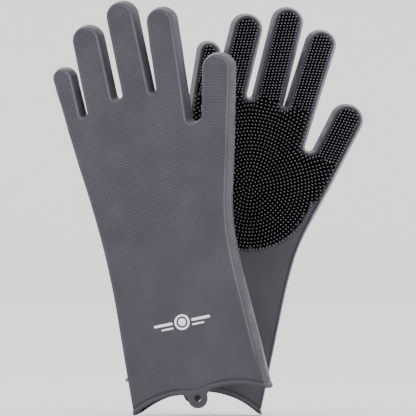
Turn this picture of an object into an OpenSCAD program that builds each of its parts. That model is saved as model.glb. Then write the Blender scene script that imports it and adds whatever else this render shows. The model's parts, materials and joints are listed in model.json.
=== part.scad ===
// Pair of moulded silicone grooming gloves. The left glove is in front with its back forward,
// the right glove is behind it with its bristled palm forward. Fingers point up (+Z) and the
// front is -Y. The origin is the middle of the mouth of the right cuff.
//
// Each glove is drawn in its own flat frame: x towards the thumb, y towards the finger tips
// from the hang hole, z from the palm to the back of the hand. The two are mirror twins.

/* [Cuff] */
// Half width of the mouth of the cuff, at the hem
hem_half = 60; // [56:1:72]
// Half width at the wrist, the narrowest place
wrist_half = 55; // [46:1:66]
// Height of the wrist bend above the hang hole
wrist_y = 116; // [96:1:140]
// Thickness of the cuff, front to back
cuff_t = 23; // [19:1:30]
// Rise of the hem from its corners to the tops of its two arches
hem_rise = 10; // [5:0.5:14]
// Distance of the top of each arch from the middle line
arch_x = 22; // [18:1:30]
// Drop of the hem corners below the hang hole
hem_drop = 4; // [2:1:6]

/* [Hand] */
// Height of the finger webs above the wrist bend
palm_len = 143; // [119:1:172]
// Thickness of the hand, palm to back
hand_t = 21; // [19:1:26]
// Distance from the middle line of the hand to the middle of the little finger
little_x = 59.5; // [56:0.5:64]
// Distance from the middle line of the hand to the middle of the thumb's knuckle
thumb_x = 62.4; // [60:0.2:68]

/* [Digits] */
// Thickness of the fingers, palm to back
digit_t = 17; // [14:0.1:18]
// Half width of the ring and middle fingers
finger_half = 13; // [10.8:0.1:14]
// Half width of the index finger
index_half = 12.5; // [10.4:0.1:13.5]
// Half width of the little finger
little_half = 10; // [8.3:0.1:12]
// Half width of the thumb
thumb_half = 13; // [10.8:0.1:15.6]
// Length of the middle finger above its web
middle_len = 84; // [70:1:101]
// Lean of the thumb away from the hand
thumb_lean = 13.6; // [5:0.2:16.4]

/* [Silicone] */
// Wall of the moulding
wall = 1.5; // [1.2:0.1:2.5]
// Length of the bristles
bristle_len = 5.5; // [3:0.1:6.6]
// Smooth border left between the bristles and the edge
bristle_border = 4; // [2:0.5:6]
// Half length of the flexing band at a knuckle
flex_half = 8; // [7.5:0.1:10]
// Half length of the flexing band at the wrist
wrist_flex_half = 12; // [10:0.1:15]

/* [Hem and hang tab] */
// Height of the rolled hem
hem_h = 3; // [2:0.1:5]
// How far the rolled hem stands out from the cuff
hem_out = 1; // [0.5:0.1:2]
// Radius of the round end of the hang tab
tab_r = 8.5; // [7:0.1:11]
// Radius of the hang hole
hole_r = 2.7; // [2:0.1:3.5]
// Thickness of the hang tab
tab_t = 2.5; // [2:0.1:4]

/* [Print] */
// Width of the printed mark on the left cuff
print_w = 50; // [30:1:60]
// Height of the printed mark
print_h = 14; // [10:1:20]
// Height of the middle of the print above the hang hole
print_y = 66; // [45:1:75]

/* [Pair] */
// Distance between the middle planes of the two gloves
pair_gap = 100; // [96:1:140]
// Sideways lean of the left glove
left_lean = 12.4; // [0:0.2:20]
// Sideways lean of the right glove
right_lean = 13.4; // [0:0.2:20]
// Turn of the left glove about its long axis
left_turn = 11; // [0:1:14]
// Turn of the right glove about its long axis
right_turn = 5; // [0:1:14]
// Sideways distance from the right hang hole to the left one
hole_shift = 7; // [0:1:30]

/* [Hidden] */
$fn = 64;
hull_fn = 32;
arch_fn = 128;
join = 0.02;          // gap between zones of one moulding
soften = 2.5;         // bevel along the edges of a digit
print_t = 0.2;        // thickness of the ink
bristle_start = 14;   // first bristles on a digit, above its hinge
palm_ring_r = 54;     // radius of the round lower edge of the palm bristles
palm_ring_x = 2;      // its centre, from the middle line of the hand
palm_ring_drop = 70;  // its centre, below the webs

web_y = wrist_y + palm_len;
hand_y0 = wrist_y + wrist_flex_half;
cuff_y1 = wrist_y - wrist_flex_half;
corner_y = -hem_drop;

// A digit is [x of its hinge, y of its hinge, length above the hinge, half width, lean outwards].
LITTLE = [-little_x, web_y + 9, middle_len - 53, little_half, -1];
RING = [-32.8, web_y + 16, middle_len - 29, finger_half, 0];
MIDDLE = [0, web_y + 18, middle_len - 17, finger_half, 0];
INDEX = [29.5, web_y + 16, middle_len - 27, index_half, 3.6];
THUMB = [thumb_x, web_y - 22, middle_len - 36, thumb_half, thumb_lean];
DIGITS = [THUMB, INDEX, MIDDLE, RING, LITTLE];
DIGIT_NAMES = ["thumb", "index", "middle", "ring", "little"];
root_len = 26;        // length of a finger root drawn below its hinge
thumb_root_len = 46;  // the same for the thumb

function digit_x(d) = d[0];
function digit_y(d) = d[1];
function digit_len(d) = d[2];
function digit_half(d) = d[3];
function digit_lean(d) = d[4];

SIDES = ["left", "right"];
HAND_PARTS = ["hand", "palm_bristles", "wrist_flex"];
CUFF_PARTS = ["cuff", "hem", "hang_tab"];
DIGIT_PARTS = ["sheath", "knuckle", "bristles"];

// A slab of thickness t, centred on the middle plane of the glove.
module slab(t) { translate([0, 0, -t / 2]) linear_extrude(t) children(); }

// Moves a digit, drawn along +y from its hinge, to its place on the glove.
module at_digit(d) {
    translate([digit_x(d), digit_y(d), 0]) rotate([0, 0, -digit_lean(d)]) children();
}

// Places a glove in the pair: the left one in front, the right one behind as its mirror twin.
module place(side) {
    left = side == "left";
    translate([left ? hole_shift : 0, left ? -pair_gap : 0, 0])
        rotate([0, left ? -left_lean : right_lean, 0])
        rotate([0, 0, left ? -left_turn : right_turn])
        rotate([90, 0, 0]) mirror([0, 0, left ? 0 : 1]) children();
}

// ---- cuff, hem and hang tab ----

// Outline of the cuff from its corners up to the height y1.
module cuff_outline(y1, inset = 0) {
    polygon([
        [-hem_half + inset, corner_y - 1], [hem_half - inset, corner_y - 1],
        [wrist_half - inset, y1], [-wrist_half + inset, y1]
    ]);
}

// Everything below the lower edge of the cuff, raised by lift: a strip and two shallow arches.
module below_edge(lift) {
    run = hem_half - arch_x;
    r = (run * run + hem_rise * hem_rise) / (2 * hem_rise);
    translate([-hem_half - 9, corner_y - 9]) square([2 * hem_half + 18, 9 + lift]);
    for (side = [-1, 1]) intersection() {
        translate([side * arch_x, corner_y + lift + hem_rise - r]) circle(r = r, $fn = arch_fn);
        translate([side > 0 ? 0 : -hem_half - 9, corner_y + lift - 1])
            square([hem_half + 9, hem_rise + 2]);
    }
}

// The tab's own outline, grown by clear.
module tab_outline(clear = 0) {
    circle(r = tab_r + clear);
    translate([-tab_r - clear, 0]) square([2 * (tab_r + clear), corner_y + hem_rise + hem_h + 3 + clear]);
}

// The space that the tab takes in the back wall.
module tab_space() {
    translate([0, 0, cuff_t / 2 + hem_out - tab_t - join]) linear_extrude(tab_t + 1) tab_outline(join);
}

// Parts a hollow zone along the mould's parting line, into its back half and its palm half.
module parted() {
    difference() {
        children();
        slab(join) square(4 * web_y, center = true);
    }
}

// Long open cuff above the rolled hem.
module cuff() {
    parted() difference() {
        slab(cuff_t) difference() { cuff_outline(cuff_y1); below_edge(hem_h); }
        slab(cuff_t - 2 * wall) cuff_outline(cuff_y1 + 1, wall);
        tab_space();
    }
}

// Rolled hem around the mouth of the cuff.
module hem() {
    parted() difference() {
        slab(cuff_t + 2 * hem_out) difference() {
            intersection() {
                below_edge(hem_h - join);
                translate([-hem_half - hem_out, corner_y])
                    square([2 * (hem_half + hem_out), hem_rise + hem_h]);
            }
            below_edge(0);
        }
        slab(cuff_t - 2 * wall) cuff_outline(cuff_y1, wall);
        tab_space();
    }
}

// Round tab with the hang hole, in line with the back wall of the cuff.
module hang_tab() {
    translate([0, 0, cuff_t / 2 + hem_out - tab_t]) difference() {
        linear_extrude(tab_t) tab_outline();
        translate([0, 0, -1]) cylinder(r = hole_r, h = tab_t + 2);
    }
}

// Plain printed mark on the back of the cuff: a round badge on a thin bar.
module print_mark() {
    bar_h = 3;
    translate([0, print_y, cuff_t / 2]) linear_extrude(print_t) union() {
        circle(d = print_h);
        translate([-print_w / 2, -bar_h / 2]) square([print_w, bar_h]);
    }
}

// ---- hand and wrist ----

// Outline of the hand without its digits.
module palm_outline(inset = 0) {
    thumb_side = thumb_x + thumb_half;
    polygon([
        [-wrist_half + inset, hand_y0], [wrist_half - inset, hand_y0],
        [wrist_half + 2.5 - inset, web_y - 109], [thumb_side - 11 - inset, web_y - 73],
        [thumb_side - 22, web_y - 34], [digit_x(INDEX) + index_half + 2 - inset, web_y - 31],
        [digit_x(INDEX) + index_half - 1 - inset, web_y - inset],
        [-little_x + little_half - 1, web_y - 5 - inset],
        [-little_x - little_half + 2 + inset, web_y - 7 - inset],
        [-little_x - little_half + 3.5 + inset, web_y - 33],
        [-wrist_half - 3.5 + inset, web_y - 85]
    ]);
}

// Root of a digit, from below its hinge up to the flexing band.
module digit_root(d, inset, top) {
    h = digit_half(d) - inset;
    reach = d == THUMB ? thumb_root_len : root_len;
    at_digit(d) translate([-h, -reach]) square([2 * h, reach - flex_half - top]);
}

// Outline of the whole hand with its digit roots; top lowers the end of each root.
module hand_outline(inset, top) {
    palm_outline(inset);
    for (d = DIGITS) digit_root(d, inset, top);
}

// Hollow hand between the wrist and the knuckles.
module hand() {
    difference() {
        slab(hand_t) hand_outline(0, 0);
        slab(digit_t - 2 * wall) hand_outline(wall, -1);
        slab(hand_t - 2 * wall) palm_outline(wall);
        slab(hand_t - 2 * wall) translate([-wrist_half + wall, hand_y0 - 1])
            square([2 * (wrist_half - wall), 2]);
    }
}

// Field of bristles on the palm, as the slab that their tips reach.
module palm_bristles() {
    ring_y = web_y - palm_ring_drop;
    translate([0, 0, -hand_t / 2 - bristle_len]) linear_extrude(bristle_len) intersection() {
        hand_outline(bristle_border, bristle_border);
        union() {
            translate([palm_ring_x, ring_y]) circle(r = palm_ring_r);
            translate([-2 * little_x, ring_y]) square([4 * little_x, 2 * palm_ring_r]);
        }
    }
}

// Flexing band at the wrist.
module wrist_flex() {
    difference() {
        slab(hand_t) translate([-wrist_half, cuff_y1 + join])
            square([2 * wrist_half, 2 * (wrist_flex_half - join)]);
        slab(hand_t - 2 * wall) translate([-wrist_half + wall, cuff_y1 - 1])
            square([2 * (wrist_half - wall), 2 * wrist_flex_half + 2]);
    }
}

// ---- digits ----

// Outline of a digit from y0 to its round tip, narrowed by inset.
module digit_outline(d, y0, inset = 0) {
    h = digit_half(d) - inset;
    tip_y = digit_len(d) - digit_half(d);
    translate([-h, y0]) square([2 * h, tip_y - y0]);
    translate([0, tip_y]) circle(r = h);
}

// Hollow digit with softened edges, open at the knuckle.
module sheath(d) {
    difference() {
        hull() {
            slab(digit_t - 2 * soften) digit_outline(d, flex_half, $fn = hull_fn);
            slab(digit_t) digit_outline(d, flex_half, soften, $fn = hull_fn);
        }
        slab(digit_t - 2 * wall) digit_outline(d, flex_half - 1, soften);
    }
}

// Flexing band between the hand and a digit.
module knuckle(d) {
    h = digit_half(d);
    difference() {
        slab(digit_t) translate([-h, -flex_half + join]) square([2 * h, 2 * (flex_half - join)]);
        slab(digit_t - 2 * wall) translate([-h + wall, -flex_half - 1])
            square([2 * (h - wall), 2 * flex_half + 2]);
    }
}

// Field of bristles on a digit, as the slab that their tips reach.
module digit_bristles(d) {
    translate([0, 0, -digit_t / 2 - bristle_len]) linear_extrude(bristle_len)
        digit_outline(d, bristle_start, bristle_border);
}

// ---- the pair ----

module draw_hand_part(part) {
    if (part == "hand") color([0.40, 0.40, 0.43]) hand();
    if (part == "palm_bristles") color([0.16, 0.16, 0.17]) palm_bristles();
    if (part == "wrist_flex") color([0.43, 0.43, 0.46]) wrist_flex();
    if (part == "cuff") color([0.34, 0.34, 0.37]) cuff();
    if (part == "hem") color([0.45, 0.45, 0.48]) hem();
    if (part == "hang_tab") color([0.48, 0.48, 0.51]) hang_tab();
}

module draw_digit_part(d, part) {
    if (part == "sheath") color([0.40, 0.40, 0.43]) sheath(d);
    if (part == "knuckle") color([0.43, 0.43, 0.46]) knuckle(d);
    if (part == "bristles") color([0.16, 0.16, 0.17]) digit_bristles(d);
}

for (s = SIDES) {
    for (p = concat(HAND_PARTS, CUFF_PARTS))
        place(s) draw_hand_part(p);
    for (i = [0:len(DIGITS) - 1]) for (p = DIGIT_PARTS)
        place(s) at_digit(DIGITS[i]) draw_digit_part(DIGITS[i], p);
}
place("left") color("white") print_mark();  // left_print
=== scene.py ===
"""Looks of a pair of moulded silicone grooming gloves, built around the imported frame.

Each glove is drawn flat in its own axes (x to the thumb, y to the finger tips, z out of the
back of the hand) and then set in its place in the pair. Lengths are in metres.
"""

import json
import logging
import math
import random
from dataclasses import dataclass, field, replace
from enum import Enum

import bmesh
import bpy
import numpy as np
from mathutils import Matrix, Vector
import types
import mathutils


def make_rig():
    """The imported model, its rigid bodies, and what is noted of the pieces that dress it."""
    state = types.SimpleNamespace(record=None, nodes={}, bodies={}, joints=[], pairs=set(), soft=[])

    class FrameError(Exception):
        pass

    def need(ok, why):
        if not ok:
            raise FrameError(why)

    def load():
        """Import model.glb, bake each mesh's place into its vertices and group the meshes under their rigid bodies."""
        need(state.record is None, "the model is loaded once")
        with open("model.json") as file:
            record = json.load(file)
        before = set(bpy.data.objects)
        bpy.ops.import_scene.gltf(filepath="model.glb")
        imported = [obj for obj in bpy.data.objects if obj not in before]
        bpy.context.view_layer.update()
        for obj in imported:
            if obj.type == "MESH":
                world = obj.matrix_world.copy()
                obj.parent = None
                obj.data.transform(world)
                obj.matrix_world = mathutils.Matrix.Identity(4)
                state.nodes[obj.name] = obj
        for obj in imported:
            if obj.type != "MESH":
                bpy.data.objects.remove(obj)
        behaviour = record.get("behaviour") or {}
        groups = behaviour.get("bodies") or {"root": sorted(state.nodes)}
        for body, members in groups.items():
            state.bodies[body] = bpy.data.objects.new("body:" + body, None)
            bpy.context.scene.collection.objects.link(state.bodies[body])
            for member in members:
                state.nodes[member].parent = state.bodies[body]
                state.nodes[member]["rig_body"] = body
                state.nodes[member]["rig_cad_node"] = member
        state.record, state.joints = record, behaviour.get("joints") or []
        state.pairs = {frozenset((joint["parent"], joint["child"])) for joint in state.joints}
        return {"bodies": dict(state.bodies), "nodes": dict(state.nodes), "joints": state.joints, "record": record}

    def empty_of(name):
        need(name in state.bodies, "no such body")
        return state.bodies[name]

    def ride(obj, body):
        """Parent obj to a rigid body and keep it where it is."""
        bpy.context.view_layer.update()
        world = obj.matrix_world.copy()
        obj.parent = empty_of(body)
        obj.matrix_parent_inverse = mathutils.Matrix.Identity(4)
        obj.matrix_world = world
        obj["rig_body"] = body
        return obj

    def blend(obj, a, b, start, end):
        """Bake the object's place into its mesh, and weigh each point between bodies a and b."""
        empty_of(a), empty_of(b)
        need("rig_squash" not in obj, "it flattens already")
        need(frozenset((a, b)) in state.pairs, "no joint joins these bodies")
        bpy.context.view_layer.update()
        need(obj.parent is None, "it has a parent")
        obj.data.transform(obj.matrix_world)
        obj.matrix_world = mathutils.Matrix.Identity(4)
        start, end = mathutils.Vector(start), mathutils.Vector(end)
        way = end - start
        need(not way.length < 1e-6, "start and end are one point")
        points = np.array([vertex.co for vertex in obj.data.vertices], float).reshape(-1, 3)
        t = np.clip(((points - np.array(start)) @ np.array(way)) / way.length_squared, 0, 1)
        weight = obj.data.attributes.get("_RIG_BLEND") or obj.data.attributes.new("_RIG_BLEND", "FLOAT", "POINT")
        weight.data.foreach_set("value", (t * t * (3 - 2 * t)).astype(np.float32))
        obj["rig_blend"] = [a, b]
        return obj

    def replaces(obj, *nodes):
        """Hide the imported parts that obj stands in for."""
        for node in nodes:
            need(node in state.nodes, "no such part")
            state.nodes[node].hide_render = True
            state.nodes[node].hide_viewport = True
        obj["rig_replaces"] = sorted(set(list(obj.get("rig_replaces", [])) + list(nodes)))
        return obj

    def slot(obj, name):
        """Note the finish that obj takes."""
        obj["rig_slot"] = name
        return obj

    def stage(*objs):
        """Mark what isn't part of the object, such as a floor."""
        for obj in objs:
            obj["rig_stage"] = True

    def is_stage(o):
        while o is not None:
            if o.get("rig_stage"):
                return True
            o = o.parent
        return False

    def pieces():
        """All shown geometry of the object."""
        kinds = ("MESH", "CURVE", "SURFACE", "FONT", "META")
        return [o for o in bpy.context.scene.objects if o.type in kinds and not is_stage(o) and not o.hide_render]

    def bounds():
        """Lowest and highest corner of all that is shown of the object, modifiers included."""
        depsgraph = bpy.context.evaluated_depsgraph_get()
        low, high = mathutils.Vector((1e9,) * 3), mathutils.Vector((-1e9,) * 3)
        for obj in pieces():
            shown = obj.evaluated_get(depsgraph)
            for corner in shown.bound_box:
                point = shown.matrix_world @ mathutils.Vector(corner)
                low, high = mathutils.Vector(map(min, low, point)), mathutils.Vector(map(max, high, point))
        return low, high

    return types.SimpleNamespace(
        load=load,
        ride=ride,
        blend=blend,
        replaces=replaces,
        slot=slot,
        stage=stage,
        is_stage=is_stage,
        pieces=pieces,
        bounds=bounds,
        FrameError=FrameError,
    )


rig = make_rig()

LOG = logging.getLogger("gloves")
MM = 0.001


class Side(Enum):
    """Which hand a glove is for."""

    LEFT = "left"
    RIGHT = "right"


class Zone(Enum):
    """A stretch of the one-piece skin that follows its own body."""

    HAND = "hand"
    CUFF = "cuff"
    HEM = "hem"


# ---------------------------------------------------------------- finishes


@dataclass(frozen=True)
class Silicone:
    """Satin moulded silicone: fine grain, cloudy colour and a little dust.

    Attributes:
        name: Material name.
        low: Colour where the vertex attribute "tone" is 0.
        high: Colour where it is 1. The attribute "shade", which holds painted light and shade, multiplies both.
        roughness: Roughness of clean silicone.
        grain: Height of the grain in metres.
        grain_scale: Grains per metre.
        cloud: Strength of the slow colour variation.
        ior: Index of refraction, lower on the near-black painted-shade finishes, which hardly shine.
        sheen: Soft sheen at grazing angles.
    """

    name: str
    low: tuple[float, float, float]
    high: tuple[float, float, float]
    roughness: float = 0.38
    grain: float = 0.00006
    grain_scale: float = 1500.0
    cloud: float = 0.16
    ior: float = 1.3
    sheen: float = 0.03

    def material(self) -> bpy.types.Material:
        """Makes the node material.

        Returns:
            The new material.
        """
        mat = bpy.data.materials.new(self.name)
        mat.use_nodes = True
        tree = mat.node_tree
        shader = tree.nodes["Principled BSDF"]
        shader.inputs["IOR"].default_value = self.ior
        shader.inputs["Sheen Weight"].default_value = self.sheen
        shader.inputs["Sheen Roughness"].default_value = 0.45
        where = tree.nodes.new("ShaderNodeTexCoord")
        tone = tree.nodes.new("ShaderNodeAttribute")
        tone.attribute_name = "tone"
        base = tree.nodes.new("ShaderNodeMix")
        base.data_type = "RGBA"
        base.inputs["A"].default_value = (*self.low, 1.0)
        base.inputs["B"].default_value = (*self.high, 1.0)
        tree.links.new(tone.outputs["Fac"], base.inputs["Factor"])
        clouds = self._noise(tree, where, 28.0, 5.0, 0.6)
        shade = self._ramp(tree, clouds.outputs["Fac"], 1.0 - self.cloud, 1.0 + self.cloud)
        specks = self._noise(tree, where, 700.0, 3.0, 0.7)
        dust = self._ramp(tree, specks.outputs["Fac"], 0.94, 1.07)
        # The "shade" attribute holds painted light and shade and multiplies the colour.
        depth = tree.nodes.new("ShaderNodeAttribute")
        depth.attribute_name = "shade"
        both = self._math(tree, "MULTIPLY", shade, dust)
        both = self._math(tree, "MULTIPLY", both, depth.outputs["Fac"])
        tint = tree.nodes.new("ShaderNodeVectorMath")
        tint.operation = "SCALE"
        tree.links.new(base.outputs["Result"], tint.inputs[0])
        tree.links.new(both, tint.inputs["Scale"])
        tree.links.new(tint.outputs["Vector"], shader.inputs["Base Color"])
        smears = self._noise(tree, where, 60.0, 4.0, 0.65)
        rough = self._ramp(tree, smears.outputs["Fac"], self.roughness - 0.08, self.roughness + 0.1)
        tree.links.new(rough, shader.inputs["Roughness"])
        grain = self._noise(tree, where, self.grain_scale, 2.0, 0.6)
        bump = tree.nodes.new("ShaderNodeBump")
        bump.inputs["Strength"].default_value = 0.55
        bump.inputs["Distance"].default_value = self.grain
        tree.links.new(grain.outputs["Fac"], bump.inputs["Height"])
        tree.links.new(bump.outputs["Normal"], shader.inputs["Normal"])
        return mat

    @staticmethod
    def _noise(tree: bpy.types.NodeTree, where: bpy.types.Node, scale: float, detail: float,
               rough: float) -> bpy.types.Node:
        """Adds a noise texture on Object coordinates.

        Args:
            tree: Node tree to add to.
            where: Texture Coordinate node.
            scale: Noise scale per metre.
            detail: Octaves.
            rough: Roughness of the octaves.

        Returns:
            The noise node.
        """
        node = tree.nodes.new("ShaderNodeTexNoise")
        node.inputs["Scale"].default_value = scale
        node.inputs["Detail"].default_value = detail
        node.inputs["Roughness"].default_value = rough
        tree.links.new(where.outputs["Object"], node.inputs["Vector"])
        return node

    @staticmethod
    def _ramp(tree: bpy.types.NodeTree, value: bpy.types.NodeSocket, low: float,
              high: float) -> bpy.types.NodeSocket:
        """Maps the middle of a noise's range to low..high.

        Args:
            tree: Node tree to add to.
            value: Socket to map.
            low: Result at 0.3.
            high: Result at 0.7.

        Returns:
            The mapped socket.
        """
        node = tree.nodes.new("ShaderNodeMapRange")
        node.inputs["From Min"].default_value = 0.3
        node.inputs["From Max"].default_value = 0.7
        node.inputs["To Min"].default_value = low
        node.inputs["To Max"].default_value = high
        tree.links.new(value, node.inputs["Value"])
        return node.outputs["Result"]

    @staticmethod
    def _math(tree: bpy.types.NodeTree, operation: str, a: bpy.types.NodeSocket,
              b: bpy.types.NodeSocket) -> bpy.types.NodeSocket:
        """Joins two sockets with a math node.

        Args:
            tree: Node tree to add to.
            operation: Math operation.
            a: First socket.
            b: Second socket.

        Returns:
            The result socket.
        """
        node = tree.nodes.new("ShaderNodeMath")
        node.operation = operation
        tree.links.new(a, node.inputs[0])
        tree.links.new(b, node.inputs[1])
        return node.outputs["Value"]


@dataclass(frozen=True)
class Finishes:
    """The finishes of one glove."""

    skin: Silicone = Silicone("silicone_skin", (0.0415, 0.0405, 0.0490), (0.0415, 0.0405, 0.0490))
    # Painted shade: a near-black, low-shine finish for the skin between the bristles, which is the same silicone lying
    # in their shadow.
    bed: Silicone = Silicone("silicone_bed", (0.0025, 0.0025, 0.003), (0.0025, 0.0025, 0.003),
                             roughness=0.7, cloud=0.3, ior=1.1, sheen=0.0)
    # Painted shade: the bristles run from near-black at the foot, where they shade each other, to pale grey at the
    # tip.
    pins: Silicone = Silicone("silicone_pins", (0.003, 0.003, 0.004), (0.17, 0.17, 0.185),
                              roughness=0.42, cloud=0.1, ior=1.2, sheen=0.0)
    ink: Silicone = Silicone("white_ink", (0.70, 0.70, 0.73), (0.78, 0.78, 0.80),
                             roughness=0.55, grain=0.00003, cloud=0.05)


# ---------------------------------------------------------------- measures from the frame


@dataclass
class Digit:
    """One finger or thumb, in the flat axes of its glove.

    Attributes:
        name: Name of the digit.
        hinge: Middle of its knuckle.
        lean: Lean outwards, in radians.
        half: Half width at the knuckle.
        length: Length from the knuckle to the tip.
        start: How far below the knuckle its own piece of skin starts.
    """

    name: str
    hinge: Vector
    lean: float
    half: float
    length: float
    start: float = 14.5 * MM

    @property
    def along(self) -> Vector:
        """Direction to the tip."""
        return Vector((math.sin(self.lean), math.cos(self.lean), 0.0))

    @property
    def across(self) -> Vector:
        """Direction to the thumb side."""
        return Vector((math.cos(self.lean), -math.sin(self.lean), 0.0))

    def at(self, across: float, along: float) -> Vector:
        """Gives a point of the digit.

        Args:
            across: Distance from its middle line, to the thumb side.
            along: Distance above its knuckle.

        Returns:
            The point in the glove's flat axes.
        """
        return self.hinge + self.across * across + self.along * along


class GloveFrame:
    """Axes and sizes of one glove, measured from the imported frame."""

    def __init__(self, frame: dict, side: Side) -> None:
        """Measures the glove.

        Args:
            side: Which glove.
        """
        self.side = side
        self.nodes = frame["nodes"]
        mounts = {m["name"]: m for m in frame["record"]["mounts"]}
        opening = mounts[f"{side.value}_arm_opening"]
        hole = mounts[f"{side.value}_hang_hole"]
        origin = Vector(opening["pos_m"])
        along = -Vector(opening["axis"]).normalized()
        back = Vector(hole["axis"]).normalized()
        across = along.cross(back)
        if side is Side.RIGHT:
            across = -across
        self.matrix = Matrix((
            (across.x, along.x, back.x, origin.x),
            (across.y, along.y, back.y, origin.y),
            (across.z, along.z, back.z, origin.z),
            (0.0, 0.0, 0.0, 1.0),
        ))
        self.inverse = self.matrix.inverted()
        self.hole_radius = hole["dims"]["r_mm"] * MM
        joints = {j["name"]: j for j in frame["joints"]}
        wrist = joints[f"{side.value}_wrist_bend"]
        self.wrist_y = (self.inverse @ Vector(wrist["pos_m"])).y
        self.digits = [self._digit(joints, name) for name in ("little", "ring", "middle", "index", "thumb")]
        cuff_lo, cuff_hi = self.span("cuff")
        self.hem_half = cuff_hi.x
        self.cuff_half_t = cuff_hi.z
        self.hem_low = self.span("hem")[0].y
        self.wrist_half = self.span("wrist_flex")[1].x
        self.hand_half_t = self.span("wrist_flex")[1].z
        self.digit_half_t = self.span("index_knuckle")[1].z
        self.pin_length = self.span("index_sheath")[0].z - self.span("index_bristles")[0].z
        tab_lo, tab_hi = self.span("hang_tab")
        self.tab_radius = -tab_lo.y
        self.tab_top = tab_hi.y
        self.tab_thickness = tab_hi.z - tab_lo.z

    def _digit(self, joints: dict, name: str) -> Digit:
        """Measures one digit from its joint and its sheath.

        Args:
            joints: Joints by name.
            name: Name of the digit.

        Returns:
            The digit in the flat axes.
        """
        joint = joints[f"{self.side.value}_{name}_bend"]
        hinge = self.inverse @ Vector(joint["pos_m"])
        axis = self.inverse.to_3x3() @ Vector(joint["axis"])
        if axis.x > 0:
            axis = -axis
        lean = math.atan2(axis.y, -axis.x)
        digit = Digit(name, Vector((hinge.x, hinge.y, 0.0)), lean, 0.0, 0.0)
        points = [self.inverse @ v.co for v in self.nodes[f"{self.side.value}_{name}_sheath"].data.vertices]
        digit.half = max((p - digit.hinge).dot(digit.across) for p in points)
        digit.length = max((p - digit.hinge).dot(digit.along) for p in points)
        return digit

    def span(self, part: str) -> tuple[Vector, Vector]:
        """Measures a node in the flat axes.

        Args:
            part: Node name without the side.

        Returns:
            Its lowest and highest corner.
        """
        points = [self.inverse @ v.co for v in self.nodes[f"{self.side.value}_{part}"].data.vertices]
        low = Vector(min(p[i] for p in points) for i in range(3))
        high = Vector(max(p[i] for p in points) for i in range(3))
        return low, high

    def world(self, point: Vector) -> Vector:
        """Places a flat point in the pair."""
        return self.matrix @ point


# ---------------------------------------------------------------- outline and surface


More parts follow.
